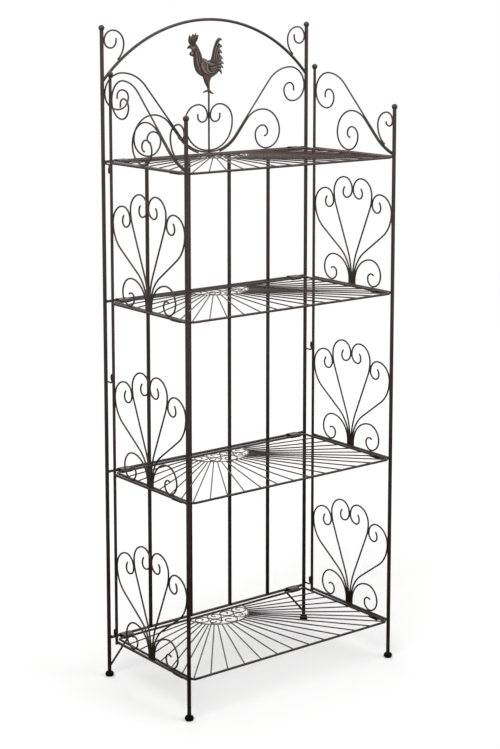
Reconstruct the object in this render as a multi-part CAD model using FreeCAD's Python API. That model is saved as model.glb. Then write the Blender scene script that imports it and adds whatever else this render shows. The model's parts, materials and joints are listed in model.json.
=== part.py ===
import FreeCAD, Part
import math
import os

# A folding bakers rack of round iron rod and wire: a back panel with an arched top and a rooster, two
# side panels that swing on pintles, and four wire shelves that fold up on their rear wires.
# Millimetres, +Z up, front towards -Y, +X to the right seen from the front.
# The origin lies on the floor, midway between the rear and front posts.

# Overall sizes
POST_SPACING = 600.0          # between the axes of the two rear posts, and of the two side panels
SIDE_DEPTH = 322.0            # rear post axis to front post axis
BOTTOM_RAIL_HEIGHT = 94.0     # floor to the axis of the lowest rail
LOWER_BAY = 406.0             # rail axis to rail axis
MIDDLE_BAY = 404.0
UPPER_BAY = 323.0
REAR_POST_RISE = 297.0        # rod ends above the axis of the top rail
HINGE_POST_RISE = 194.0
FRONT_POST_RISE = 112.0

# Rod and wire diameters
POST_DIA = 9.0
HINGE_POST_DIA = 7.0
RAIL_DIA = 6.5
ROD_DIA = 9.0
ARCH_DIA = 7.0
SCROLL_DIA = 4.0
STEM_DIA = 4.5
BRACE_DIA = 5.0
PINTLE_DIA = 4.0
FRAME_DIA = 5.5
SPOKE_DIA = 3.0
RIM_WIDTH = 4.0               # flat strip of the shelves' medallions
FILIGREE_WIDTH = 3.0
STRIP_THICKNESS = 1.2

# Clearances
WELD_GAP = 0.2                # between round pieces that a weld joins
HINGE_CLEARANCE = 0.3         # round a pintle or a shelf's rear wire
REST_CLEARANCE = 0.3          # under a shelf's side wire

# Finials and feet
FINIAL_DIA = 14.0
FOOT_DIA = 20.5
FOOT_SOLE_DIA = 15.0
FOOT_NECK_DIA = 10.0
FOOT_HEIGHT = 11.5
FOOT_BELLY_HEIGHT = 5.0

# Back panel
BACK_RODS = 4
ARCH_END_RISE = 181.0         # top rail axis to the arch's axis at the posts
ARCH_CROWN_RISE = 318.0       # top rail axis to the arch's axis in the middle
BRACE_FOOT_HEIGHT = 22.0      # floor to where the brace meets the post's axis
BRACE_CLIP_GAP = 7.5          # from a shelf hinge clip to where the brace meets the bottom rail's axis

# Wing, branch, heart and corner scrolls of the back panel: bend radii from the foot to the tip
WING_RISE = 200.0
WING_FOOT_RADIUS = 100.0
WING_SHOULDER_RADIUS = 84.0
WING_CURL_RADII = (46.0, 37.0, 27.0, 17.5, 13.0)
BRANCH_SHOULDER_RADIUS = 60.0
BRANCH_CURL_RADII = (54.0, 41.0, 34.0, 22.0, 16.0, 10.0)
HEART_FOOT_RADIUS = 66.0
HEART_SIDE_RUN = 4.5          # upright run above the foot
HEART_CURL_RADII = (38.5, 26.5, 15.0, 13.0)
CORNER_RISE = 297.0
CORNER_CURL_RADII = (30.0, 23.0, 17.0, 15.0)
TIP_RUN = 7.0                 # straight end of a wing, heart, corner or crest scroll

# Rooster, a flat figure; its outline is in hundredths of its height, as strokes that meet at sharp corners
ROOSTER_HEIGHT = 146.0
ROOSTER_THICKNESS = 5.0
ROOSTER_RISE = 141.0          # top rail axis to the underside of its feet
ROOSTER_STROKE_SHARES = (
    ((-1.5, 0), (-1.7, 5)),
    ((-1.7, 5), (-11.5, 3.4)),
    ((-11.5, 3.4), (-12.2, 4.6)),
    ((-12.2, 4.6), (-7.6, 7), (-2.6, 8.4)),
    ((-2.6, 8.4), (-3.8, 12.4), (-7.4, 18), (-10.2, 24.5), (-12.2, 29.6)),
    ((-12.2, 29.6), (-17.4, 31.8), (-24, 36.8), (-28.6, 45), (-30.4, 54), (-30.4, 62)),
    ((-30.4, 62), (-33.4, 62.8), (-36.6, 63.8), (-38.4, 66.4), (-37.2, 69.2), (-34.4, 70.4)),
    ((-34.4, 70.4), (-34.2, 73), (-35.6, 75.2)),
    ((-35.6, 75.2), (-39, 75), (-43, 75.2)),
    ((-43, 75.2), (-41, 78.8), (-37, 81.4)),
    ((-37, 81.4), (-39.6, 84.6), (-40.5, 88.4), (-39.8, 92.6), (-38.4, 97)),
    ((-38.4, 97), (-36.4, 95.2), (-35, 92.6)),
    ((-35, 92.6), (-33.2, 96.2), (-31, 99.2)),
    ((-31, 99.2), (-29.6, 97), (-28.6, 94)),
    ((-28.6, 94), (-27.6, 97.4), (-25.7, 100)),
    ((-25.7, 100), (-25, 97.6), (-24.7, 95.2)),
    ((-24.7, 95.2), (-23.2, 96.6), (-20.8, 97)),
    ((-20.8, 97), (-21.1, 92), (-23.4, 87.4), (-26, 84)),
    ((-26, 84), (-21.8, 78.6), (-17.6, 71.6), (-14.4, 64.6), (-12.2, 58.6)),
    ((-12.2, 58.6), (-9.8, 59.2), (-7.2, 58.4), (-4.2, 56.4), (-0.8, 55.4), (2.6, 56.2), (5, 58.6)),
    ((5, 58.6), (6.8, 65), (8.8, 72.4), (11.8, 80.6), (15.2, 87), (19.2, 90.8), (22.6, 91.4), (25.6, 89.8),
     (27.6, 87)),
    ((27.6, 87), (23.8, 87), (20.6, 82.8)),
    ((20.6, 82.8), (24.8, 80.6), (27.8, 75.8)),
    ((27.8, 75.8), (24.6, 76), (21.8, 73.2)),
    ((21.8, 73.2), (25.4, 70.8), (27.6, 66)),
    ((27.6, 66), (24.8, 66.8), (22.6, 64.2)),
    ((22.6, 64.2), (26.8, 61), (29.2, 56)),
    ((29.2, 56), (26.4, 57), (24.6, 55.2)),
    ((24.6, 55.2), (28.6, 52.6), (30.8, 48)),
    ((30.8, 48), (27.6, 49.4), (25.2, 48.2)),
    ((25.2, 48.2), (28.2, 45.8), (29.6, 41.4)),
    ((29.6, 41.4), (26.6, 43), (23.6, 42.2)),
    ((23.6, 42.2), (25.9, 38.4), (25.6, 31.8)),
    ((25.6, 31.8), (23.4, 35.4), (20.4, 37.8)),
    ((20.4, 37.8), (16, 33.4), (10, 30), (5.4, 27.4), (2.6, 23), (1.6, 16), (1.7, 8.6)),
    ((1.7, 8.6), (5.4, 5), (10, 1.3)),
    ((10, 1.3), (9.4, 0.3)),
    ((9.4, 0.3), (5.4, 1.4), (1.6, 4)),
    ((1.6, 4), (1.5, 0)),
    ((1.5, 0), (-1.5, 0)),
)
PERCENT = 100

# Side panels: the hinge post stands in front of the rear post. The shares are of the panel's half width.
HINGE_POST_SETBACK = 32.5
HINGE_POST_STUB = 6.0         # the hinge post ends this far below the bottom rail's axis
FAN_INNER_RISE_SHARE = 1.544  # rail axis to a petal's widest place
FAN_OUTER_RISE_SHARE = 1.304
FAN_FOOT_RUN_SHARE = 0.06     # straight foot of each wire
FAN_INNER_SHARES = (1.3, 0.577)
FAN_INNER_CURL_SHARES = (0.262, 0.197, 0.143, 0.083, 0.125)
FAN_OUTER_SHARES = (0.613, 0.492)
FAN_OUTER_CURL_SHARES = (0.278, 0.12, 0.087, 0.125)  # without the second, which lies on the inner petal
FAN_BASE_CURL_SHARES = (0.245, 0.192, 0.122, 0.085, 0.075)  # without the first, which sets it on the rail
FAN_TIP_TURN = 45             # degrees that the last bend of a wire turns
CREST_RISE_SHARE = 1.295
CREST_START_SHARE = 0.07      # the crest's foot above the top rail's axis
CREST_START_HEADING = 160
CREST_FOOT_SHARE = 1.035
CREST_SHOULDER_SHARE = 0.593
CREST_CURL_SHARES = (0.317, 0.276, 0.186, 0.131, 0.093)
CREST_BRANCH_SHOULDER_SHARE = 0.448
CREST_BRANCH_CURL_SHARES = (0.372, 0.283, 0.234, 0.152, 0.11, 0.069)
HOOK_RISE_SHARE = 0.5
HOOK_CURL_SHARES = (0.214, 0.138, 0.083, 0.069)

# Side hinges: a pintle hooks forward from the rear post, then up or down into a sleeve on the hinge post
SLEEVE_DIA = 7.0
SLEEVE_LENGTH = 11.0
PINTLE_BEND_RADIUS = 5.0
PINTLE_BARE_LENGTH = 3.0      # between the bend and the sleeve
PINTLE_TIP = 2.0              # past the sleeve
LOWER_PINTLE_LIFT = 8.0       # pintle height above a rail's axis
MIDDLE_PINTLE_LIFT = 217.0
UPPER_PINTLE_DROP = 4.0

# Shelves
SHELF_REAR_SETBACK = 18.5     # back rail axis to the shelf's rear wire
SHELF_REAR_INSET = 14.5       # side rail axis to the shelf's side wire, which splays out to the front
SHELF_FRONT_INSET = 9.0
SHELF_FRONT_OVERHANG = 4.0    # front post axis to the shelf's front wire
FRAME_FRONT_RADIUS = 10.0
FRAME_REAR_RADIUS = 8.0
FRONT_SPOKES = 13             # the outer two run into the corners
SIDE_SPOKES = 6
RIM_RADIUS = 82.0
REAR_RING_SHARE = 0.2335      # medallion rings: radius and places, of the rim's inner radius
SIDE_RING_SHARE = 0.2
SIDE_RING_FORWARD_SHARE = 0.644
MIDDLE_RING_SHARE = 0.268
MIDDLE_RING_FORWARD_SHARE = 0.727
RING_CURL_SHARES = (0.72, 0.52, 0.38)
RING_TURN = 270

# Sheet straps: clips round a back rail and a shelf's rear wire, and rests under the side wires
STRAP_THICKNESS = 1.2
CLIP_LENGTH = 27.0
CLIP_INSET = 44.0             # post axis to the middle of a clip
REST_LENGTH = 34.0
REST_SETBACK = 42.0           # front post axis to the middle of a rest
REST_TONGUE_PAST = 4.0        # tongue past the shelf's side wire
REST_BEND = 30                # degrees that the strap turns up round the rail

# Places worked out from the sizes above
HALF_SPACING = POST_SPACING / 2
REAR_Y = SIDE_DEPTH / 2
FRONT_Y = -REAR_Y
HINGE_POST_Y = REAR_Y - HINGE_POST_SETBACK
HINGE_AXIS_Y = HINGE_POST_Y + HINGE_POST_DIA / 2 + WELD_GAP + SLEEVE_DIA / 2
PANEL_MIDDLE_Y = (HINGE_POST_Y + FRONT_Y) / 2
PANEL_HALF = (HINGE_POST_Y - FRONT_Y) / 2
RAIL_4 = BOTTOM_RAIL_HEIGHT
RAIL_3 = RAIL_4 + LOWER_BAY
RAIL_2 = RAIL_3 + MIDDLE_BAY
RAIL_1 = RAIL_2 + UPPER_BAY
RAILS = (RAIL_1, RAIL_2, RAIL_3, RAIL_4)
SHELF_DROP = RAIL_DIA / 2 + WELD_GAP - REST_CLEARANCE - FRAME_DIA / 2
SHELF_REAR_Y = REAR_Y - SHELF_REAR_SETBACK
SHELF_FRONT_Y = FRONT_Y - SHELF_FRONT_OVERHANG
SHELF_DEPTH = SHELF_REAR_Y - SHELF_FRONT_Y
SHELF_REAR_HALF = HALF_SPACING - SHELF_REAR_INSET
SHELF_FRONT_HALF = HALF_SPACING - SHELF_FRONT_INSET
SIDE_SPLAY = math.degrees(math.atan2(SHELF_FRONT_HALF - SHELF_REAR_HALF, SHELF_DEPTH))
ON_RAIL = (RAIL_DIA + SCROLL_DIA) / 2 + WELD_GAP
SCROLL_PITCH = SCROLL_DIA + WELD_GAP
BRACE_REACH = CLIP_INSET + CLIP_LENGTH / 2 + BRACE_CLIP_GAP
SIDES = {"left": -1, "right": 1}

# Turns, in degrees
QUARTER = 90
HALF_TURN = 180
FULL_TURN = 360
UP_AXIS = FreeCAD.Vector(0, 0, 1)


def ahead(point, heading, distance):
    """The point a distance away along a heading, in a flat plane."""
    angle = math.radians(heading)
    return (point[0] + distance * math.cos(angle), point[1] + distance * math.sin(angle))


class BentWire:
    """A flat wire drawn as straight runs and tangent bends. Turns to the left are positive."""

    def __init__(self, start, heading):
        self.point = start
        self.heading = heading
        self.pieces = []

    def run(self, length):
        end = ahead(self.point, self.heading, length)
        self.pieces.append((self.point, end))
        self.point = end
        return self

    def bend(self, radius, turn):
        out = self.heading - math.copysign(QUARTER, turn)
        centre = ahead(self.point, out, -radius)
        middle = ahead(centre, out + turn / 2, radius)
        end = ahead(centre, out + turn, radius)
        self.pieces.append((self.point, middle, end))
        self.point = end
        self.heading += turn
        return self

    def bend_to(self, radius, side, heading):
        return self.bend(radius, side * ((side * (heading - self.heading)) % FULL_TURN))

    def curl(self, radii, side):
        for radius in radii:
            self.bend(radius, side * QUARTER)
        return self


def tangent_heading(first, first_radius, first_side, second, second_radius, second_side):
    """Heading of the straight run that leaves one bend and enters the next."""
    across = second[0] - first[0]
    along = second[1] - first[1]
    offset = second_side * second_radius - first_side * first_radius
    lean = math.asin(offset / math.hypot(across, along))
    return math.degrees(math.atan2(along, across) - lean)


def tangent_length(first, first_radius, first_side, second, second_radius, second_side):
    """Length of that straight run."""
    offset = second_side * second_radius - first_side * first_radius
    apart = math.hypot(second[0] - first[0], second[1] - first[1])
    return math.sqrt(apart ** 2 - offset ** 2)


def standing_curl(widest, base, base_radius, side, radii):
    """A scroll that leaves a round base at a tangent, outside it (1) or inside it (-1), and curls over to the
    right. Its foot bend ends upright at the widest place."""
    across = widest[0] - base[0]
    along = widest[1] - base[1]
    foot_radius = (across ** 2 + along ** 2 - base_radius ** 2) / (2 * (side * base_radius - across))
    outward = math.degrees(math.atan2(along, across + foot_radius))
    wire = BentWire(ahead(base, outward, base_radius), outward + side * QUARTER)
    return wire.bend_to(foot_radius, -1, QUARTER).curl(radii, -1)


def side_wire_at(forward):
    """From a shelf's middle to its side wire's axis, at a place forward of the rear wire."""
    return SHELF_REAR_HALF + forward * math.tan(math.radians(SIDE_SPLAY))


def scaled(shares, size):
    return [share * size for share in shares]


def swept(wire, place, section):
    """A solid along a bent wire. Place puts a flat point into the rack; section draws the first outline."""
    edges = []
    for piece in wire.pieces:
        corners = [place(*point) for point in piece]
        edges.append(Part.makeLine(*corners) if len(corners) == 2 else Part.Arc(*corners).toShape())
    start = edges[0].valueAt(edges[0].FirstParameter)
    facing = edges[0].tangentAt(edges[0].FirstParameter)
    return Part.Wire(edges).makePipeShell([section(start, facing)], True, False)


def bar(wire, dia, place):
    """A round bar along a bent wire."""
    return swept(wire, place, lambda start, facing: Part.Wire(Part.makeCircle(dia / 2, start, facing)))


def level_strip(wire, width, place):
    """A flat strip along a bent wire that lies level."""
    def section(start, facing):
        across = facing.cross(UP_AXIS).normalize().multiply(width / 2)
        up = UP_AXIS * (STRIP_THICKNESS / 2)
        corners = [start + across + up, start - across + up, start - across - up, start + across - up]
        return Part.makePolygon(corners + corners[:1])

    return swept(wire, place, section)


def rod(start, end, dia):
    """A straight round rod between two points."""
    direction = end.sub(start)
    return Part.makeCylinder(dia / 2, direction.Length, start, direction)


def coped(solid, *neighbours):
    """A rod with its ends cut to the round of its neighbours, each given as start, end and diameter."""
    for start, end, dia in neighbours:
        solid = solid.cut(rod(start, end, dia + 2 * WELD_GAP))
    return Part.makeSolid(solid.Shells[0])


def export(name, *solids):
    shape = solids[0] if len(solids) == 1 else Part.makeCompound(list(solids))
    shape.exportStep("parts/" + name + ".step")


def at(x, y, z):
    return FreeCAD.Vector(x, y, z)


def on_back(side):
    """Puts a flat point of the back panel in place, mirrored for the left half."""
    return lambda across, height: at(side * across, REAR_Y, height)


def on_side(side):
    """Puts a flat point of a side panel in place, measured forward from the panel's middle."""
    return lambda forward, height: at(side * HALF_SPACING, PANEL_MIDDLE_Y - forward, height)


def finial(x, y, post_top, post_dia):
    """A ball with a flat under it as wide as its post."""
    radius = FINIAL_DIA / 2
    low = -math.degrees(math.acos(post_dia / FINIAL_DIA))
    lift = math.sqrt(radius ** 2 - (post_dia / 2) ** 2)
    return Part.makeSphere(radius, at(x, y, post_top + lift), UP_AXIS, low, QUARTER, FULL_TURN)


def foot(x, y):
    """A flattened ball with a flat sole, and a flat top that the post stands on."""
    sole = at(FOOT_SOLE_DIA / 2, 0, 0)
    belly = at(FOOT_DIA / 2, 0, FOOT_BELLY_HEIGHT)
    neck = at(FOOT_NECK_DIA / 2, 0, FOOT_HEIGHT)
    top = at(0, 0, FOOT_HEIGHT)
    outline = Part.Wire([Part.makeLine(at(0, 0, 0), sole), Part.Arc(sole, belly, neck).toShape(),
                         Part.makeLine(neck, top), Part.makeLine(top, at(0, 0, 0))])
    solid = Part.Face(outline).revolve(at(0, 0, 0), UP_AXIS, FULL_TURN)
    solid.translate(at(x, y, 0))
    return solid


def post_axis(x, y, low, high, dia):
    return at(x, y, low), at(x, y, high), dia


# Axes of the posts and rails: start, end and diameter
REAR_POSTS = {name: post_axis(side * HALF_SPACING, REAR_Y, FOOT_HEIGHT, RAIL_1 + REAR_POST_RISE, POST_DIA)
              for name, side in SIDES.items()}
HINGE_POSTS = {name: post_axis(side * HALF_SPACING, HINGE_POST_Y, RAIL_4 - HINGE_POST_STUB,
                               RAIL_1 + HINGE_POST_RISE, HINGE_POST_DIA) for name, side in SIDES.items()}
FRONT_POSTS = {name: post_axis(side * HALF_SPACING, FRONT_Y, FOOT_HEIGHT, RAIL_1 + FRONT_POST_RISE, POST_DIA)
               for name, side in SIDES.items()}
BACK_RAILS = [(at(-HALF_SPACING, REAR_Y, height), at(HALF_SPACING, REAR_Y, height), RAIL_DIA)
              for height in RAILS]


def back_frame():
    """Rear posts, finials, feet, rails, rods and foot braces."""
    for name, post in REAR_POSTS.items():
        export(name + "_rear_post", rod(*post))
    export("rear_post_finials", *[finial(top.x, top.y, top.z, dia) for low, top, dia in REAR_POSTS.values()])
    export("rear_post_feet", *[foot(low.x, low.y) for low, top, dia in REAR_POSTS.values()])
    for number, rail in enumerate(BACK_RAILS, 1):
        export("back_rail_%d" % number, coped(rod(*rail), *REAR_POSTS.values()))
    pitch = POST_SPACING / (BACK_RODS + 1)
    for number in range(1, BACK_RODS + 1):
        x = number * pitch - HALF_SPACING
        lengths = []
        for upper, lower in zip(BACK_RAILS, BACK_RAILS[1:]):
            length = rod(at(x, REAR_Y, lower[0].z), at(x, REAR_Y, upper[0].z), ROD_DIA)
            lengths.append(coped(length, upper, lower))
        export("back_rod_%d" % number, *lengths)
    braces = []
    for name, side in SIDES.items():
        low = at(side * HALF_SPACING, REAR_Y, BRACE_FOOT_HEIGHT)
        high = at(side * (HALF_SPACING - BRACE_REACH), REAR_Y, RAIL_4)
        braces.append(coped(rod(low, high, BRACE_DIA), REAR_POSTS[name], BACK_RAILS[-1]))
    export("foot_braces", *braces)


# The arch is one bend from post to post
ARCH_SAG = ARCH_CROWN_RISE - ARCH_END_RISE
ARCH_RADIUS = (HALF_SPACING ** 2 + ARCH_SAG ** 2) / (2 * ARCH_SAG)
ARCH_CENTRE = (0, RAIL_1 + ARCH_CROWN_RISE - ARCH_RADIUS)


def top_arch():
    half_turn = math.degrees(math.asin(HALF_SPACING / ARCH_RADIUS))
    start = ahead(ARCH_CENTRE, QUARTER + half_turn, ARCH_RADIUS)
    wire = BentWire(start, half_turn).bend(ARCH_RADIUS, -2 * half_turn)
    export("top_arch", coped(bar(wire, ARCH_DIA, on_back(1)), *REAR_POSTS.values()))


# Back scrolls, drawn on the right half from the stem out to the post
STEM_SIDE = STEM_DIA / 2 + WELD_GAP
POST_REACH = HALF_SPACING - (POST_DIA + SCROLL_DIA) / 2 - WELD_GAP
WING_BASE = RAIL_1 + ON_RAIL
WING_FOOT = (STEM_SIDE, WING_BASE + WING_FOOT_RADIUS)
WING_SHOULDER = (POST_REACH - WING_CURL_RADII[0], RAIL_1 + WING_RISE - WING_SHOULDER_RADIUS)
WING_BENDS = (WING_FOOT, WING_FOOT_RADIUS, 1, WING_SHOULDER, WING_SHOULDER_RADIUS, -1)
WING_HEADING = tangent_heading(*WING_BENDS)


def wing_scroll():
    """Leaves the stem along the rail, climbs in a straight run and curls against the post."""
    wire = BentWire((STEM_SIDE, WING_BASE), 0)
    wire.bend_to(WING_FOOT_RADIUS, 1, WING_HEADING)
    wire.run(tangent_length(*WING_BENDS))
    wire.bend_to(WING_SHOULDER_RADIUS, -1, 0)
    return wire.curl(WING_CURL_RADII, -1).run(TIP_RUN)


def branch_scroll():
    """Follows the underside of the wing, leaves it and curls down onto the rail."""
    radius = WING_FOOT_RADIUS + SCROLL_PITCH
    start_heading = math.degrees(math.acos(WING_FOOT_RADIUS / radius))
    wire = BentWire(ahead(WING_FOOT, start_heading - QUARTER, radius), start_heading)
    wire.bend_to(radius, 1, WING_HEADING)
    top = WING_BASE + BRANCH_CURL_RADII[0] + BRANCH_CURL_RADII[1]
    shoulder_rise = BRANCH_SHOULDER_RADIUS * (1 - math.cos(math.radians(WING_HEADING)))
    wire.run((top - shoulder_rise - wire.point[1]) / math.sin(math.radians(WING_HEADING)))
    wire.bend_to(BRANCH_SHOULDER_RADIUS, -1, 0)
    return wire.curl(BRANCH_CURL_RADII, -1)


def heart_scroll():
    """One half of the heart: lies on the wing at the stem and curls back to the stem."""
    wire = BentWire((STEM_SIDE, WING_BASE + SCROLL_PITCH), 0)
    lobe = HEART_CURL_RADII[0] + HEART_CURL_RADII[1] + SCROLL_DIA / 2
    wire.run(lobe - HEART_FOOT_RADIUS).bend(HEART_FOOT_RADIUS, QUARTER)
    return wire.run(HEART_SIDE_RUN).curl(HEART_CURL_RADII, 1).run(TIP_RUN)


def corner_scroll():
    """Stands on the arch and curls against the post above it."""
    widest = (POST_REACH - CORNER_CURL_RADII[0] - CORNER_CURL_RADII[1],
              RAIL_1 + CORNER_RISE - CORNER_CURL_RADII[0])
    clear_of_arch = ARCH_RADIUS + (ARCH_DIA + SCROLL_DIA) / 2 + WELD_GAP
    return standing_curl(widest, ARCH_CENTRE, clear_of_arch, 1, CORNER_CURL_RADII).run(TIP_RUN)


def back_scrolls():
    for name, draw in (("wing", wing_scroll), ("branch", branch_scroll),
                       ("heart", heart_scroll), ("corner", corner_scroll)):
        export(name + "_scrolls", *[bar(draw(), SCROLL_DIA, on_back(side)) for side in SIDES.values()])


def rooster_and_stem():
    feet = RAIL_1 + ROOSTER_RISE
    front = REAR_Y - ROOSTER_THICKNESS / 2
    share = ROOSTER_HEIGHT / PERCENT
    edges = []
    for stroke in ROOSTER_STROKE_SHARES:
        points = [at(x * share, front, feet + z * share) for x, z in stroke]
        if len(points) == 2:
            edges.append(Part.makeLine(*points))
        else:
            curve = Part.BSplineCurve()
            curve.interpolate(points)
            edges.append(curve.toShape())
    figure = Part.Face(Part.Wire(edges)).extrude(at(0, ROOSTER_THICKNESS, 0))
    export("rooster", figure)
    stem_foot = at(0, REAR_Y, RAIL_1 + RAIL_DIA / 2 + WELD_GAP)
    export("rooster_stem", rod(stem_foot, at(0, REAR_Y, feet), STEM_DIA))


# Side panels
REAR_REACH = PANEL_HALF - (HINGE_POST_DIA + SCROLL_DIA) / 2 - WELD_GAP
FRONT_REACH = PANEL_HALF - (POST_DIA + SCROLL_DIA) / 2 - WELD_GAP


def mirrored(place):
    return lambda forward, height: place(-forward, height)


def petal(start, run, foot_radius, crown_side, crown_height, crown_radius, curl_radii):
    """A fan's wire: straight up, leaning out to its widest place at crown_side, then curling back in."""
    foot_centre = (start[0] - foot_radius, start[1] + run)
    crown_centre = (crown_side + crown_radius, crown_height)
    bends = (foot_centre, foot_radius, 1, crown_centre, crown_radius, -1)
    wire = BentWire(start, QUARTER).run(run)
    wire.bend_to(foot_radius, 1, tangent_heading(*bends))
    wire.run(tangent_length(*bends))
    wire.bend_to(crown_radius, -1, QUARTER)
    return wire.curl(curl_radii[:-1], -1).bend(curl_radii[-1], -FAN_TIP_TURN)


def fan_half(rail, reach):
    """Inner petal, outer petal and base scroll on the rear side of the middle."""
    on_top = rail + RAIL_DIA / 2 + WELD_GAP
    run = FAN_FOOT_RUN_SHARE * PANEL_HALF
    inner_rise = FAN_INNER_RISE_SHARE * PANEL_HALF
    inner_curl = scaled(FAN_INNER_CURL_SHARES, PANEL_HALF)
    inner_side = -(SCROLL_PITCH / 2 + inner_curl[0] + inner_curl[1])
    inner_foot, inner_crown = scaled(FAN_INNER_SHARES, PANEL_HALF)
    inner = petal((-SCROLL_PITCH / 2, on_top), run, inner_foot, inner_side, rail + inner_rise,
                  inner_crown, inner_curl)
    outer_rise = FAN_OUTER_RISE_SHARE * PANEL_HALF
    outer_curl = scaled(FAN_OUTER_CURL_SHARES, PANEL_HALF)
    across = inner_side + inner_crown + reach - outer_curl[0]
    along = inner_rise - outer_rise - outer_curl[0]
    clear = inner_crown + SCROLL_PITCH
    outer_curl.insert(1, (across ** 2 + along ** 2 - clear ** 2) / (2 * (clear - along)))
    outer_foot, outer_crown = scaled(FAN_OUTER_SHARES, PANEL_HALF)
    outer = petal((-SCROLL_PITCH * 3 / 2, on_top), run, outer_foot, -reach, rail + outer_rise,
                  outer_crown, outer_curl)
    base_curl = scaled(FAN_BASE_CURL_SHARES, PANEL_HALF)
    base_curl.insert(0, base_curl[0] + base_curl[1] + rail + ON_RAIL - on_top - run)
    base = BentWire((-SCROLL_PITCH * 5 / 2, on_top), QUARTER).run(run)
    base.curl(base_curl[:-1], 1).bend(base_curl[-1], FAN_TIP_TURN)
    return inner, outer, base


def fan(rail, side):
    wires = [bar(wire, SCROLL_DIA, on_side(side)) for wire in fan_half(rail, REAR_REACH)]
    front = mirrored(on_side(side))
    return wires + [bar(wire, SCROLL_DIA, front) for wire in fan_half(rail, FRONT_REACH)]


# Crest above the top rail: a long scroll from the front post back to the hinge post, a branch and a hook
CREST_CURL = scaled(CREST_CURL_SHARES, PANEL_HALF)
CREST_BRANCH_CURL = scaled(CREST_BRANCH_CURL_SHARES, PANEL_HALF)
CREST_FOOT_RADIUS = CREST_FOOT_SHARE * PANEL_HALF
CREST_SHOULDER_RADIUS = CREST_SHOULDER_SHARE * PANEL_HALF
CREST_BRANCH_RADIUS = CREST_BRANCH_SHOULDER_SHARE * PANEL_HALF
CREST_START = (FRONT_REACH, RAIL_1 + CREST_START_SHARE * PANEL_HALF)
CREST_FOOT = ahead(CREST_START, CREST_START_HEADING - QUARTER, CREST_FOOT_RADIUS)
CREST_SHOULDER = (CREST_CURL[0] - REAR_REACH, RAIL_1 + CREST_RISE_SHARE * PANEL_HALF - CREST_SHOULDER_RADIUS)
CREST_BENDS = (CREST_FOOT, CREST_FOOT_RADIUS, -1, CREST_SHOULDER, CREST_SHOULDER_RADIUS, 1)
CREST_HEADING = tangent_heading(*CREST_BENDS) % FULL_TURN


def crest_scroll():
    wire = BentWire(CREST_START, CREST_START_HEADING)
    wire.bend_to(CREST_FOOT_RADIUS, -1, CREST_HEADING)
    wire.run(tangent_length(*CREST_BENDS))
    wire.bend_to(CREST_SHOULDER_RADIUS, 1, HALF_TURN)
    return wire.curl(CREST_CURL, 1).run(TIP_RUN)


def crest_branch():
    """Follows the underside of the crest from the rail, leaves it and curls down onto the rail."""
    radius = CREST_FOOT_RADIUS + SCROLL_PITCH
    low = CREST_FOOT[1] - RAIL_1 - ON_RAIL
    start_heading = HALF_TURN - math.degrees(math.acos(low / radius))
    wire = BentWire(ahead(CREST_FOOT, start_heading + QUARTER, radius), start_heading)
    wire.bend_to(radius, -1, CREST_HEADING)
    top = RAIL_1 + ON_RAIL + CREST_BRANCH_CURL[0] + CREST_BRANCH_CURL[1]
    shoulder_rise = CREST_BRANCH_RADIUS * (1 + math.cos(math.radians(CREST_HEADING)))
    wire.run((top - shoulder_rise - wire.point[1]) / math.sin(math.radians(CREST_HEADING)))
    wire.bend_to(CREST_BRANCH_RADIUS, 1, HALF_TURN)
    return wire.curl(CREST_BRANCH_CURL, 1)


def crest_hook():
    """Stands on the crest's foot and curls against the front post."""
    curl = scaled(HOOK_CURL_SHARES, PANEL_HALF)
    widest = (FRONT_REACH - curl[0] - curl[1], RAIL_1 + HOOK_RISE_SHARE * PANEL_HALF)
    return standing_curl(widest, CREST_FOOT, CREST_FOOT_RADIUS - SCROLL_PITCH, -1, curl)


def rest(side, rail):
    """A sheet strap: a short bend under a side rail, and a flat tongue in under the shelf's side wire."""
    bore = RAIL_DIA / 2 + WELD_GAP
    middle = FRONT_Y + REST_SETBACK
    rear = middle + REST_LENGTH / 2
    tongue_end = side_wire_at(SHELF_REAR_Y - middle) - FRAME_DIA / 2 - REST_TONGUE_PAST

    def place(across, height):
        return at(side * across, rear, height)

    def bend(radius):
        turns = (REST_BEND - QUARTER, REST_BEND / 2 - QUARTER, -QUARTER)
        return [place(*ahead((HALF_SPACING, rail), turn, radius)) for turn in turns]

    inner = bend(bore)
    outer = bend(bore + STRAP_THICKNESS)
    inner_end = place(tongue_end, rail - bore)
    outer_end = place(tongue_end, rail - bore - STRAP_THICKNESS)
    outline = Part.Wire([Part.Arc(*inner).toShape(), Part.makeLine(inner[-1], inner_end),
                         Part.makeLine(inner_end, outer_end), Part.makeLine(outer_end, outer[-1]),
                         Part.Arc(*outer).toShape(), Part.makeLine(outer[0], inner[0])])
    return Part.Face(outline).extrude(at(0, -REST_LENGTH, 0))


def pintle_heights():
    """Height and pointing direction of each pintle: the two lower ones point up, the top one down."""
    return ((RAIL_4 + LOWER_PINTLE_LIFT, 1), (RAIL_3 + MIDDLE_PINTLE_LIFT, 1),
            (RAIL_1 - UPPER_PINTLE_DROP, -1))


def pintle(side, height, up):
    start = POST_DIA / 2 + WELD_GAP
    wire = BentWire((start, height), 0)
    wire.run(REAR_Y - HINGE_AXIS_Y - start - PINTLE_BEND_RADIUS)
    wire.bend(PINTLE_BEND_RADIUS, up * QUARTER)
    wire.run(PINTLE_BARE_LENGTH + SLEEVE_LENGTH + PINTLE_TIP)
    return bar(wire, PINTLE_DIA, lambda forward, z: at(side * HALF_SPACING, REAR_Y - forward, z))


def sleeve(side, height, up):
    near = height + up * (PINTLE_BEND_RADIUS + PINTLE_BARE_LENGTH)
    low = at(side * HALF_SPACING, HINGE_AXIS_Y, min(near, near + up * SLEEVE_LENGTH))
    bore = Part.makeCylinder(PINTLE_DIA / 2 + HINGE_CLEARANCE, SLEEVE_LENGTH, low)
    return Part.makeCylinder(SLEEVE_DIA / 2, SLEEVE_LENGTH, low).cut(bore)


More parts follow.
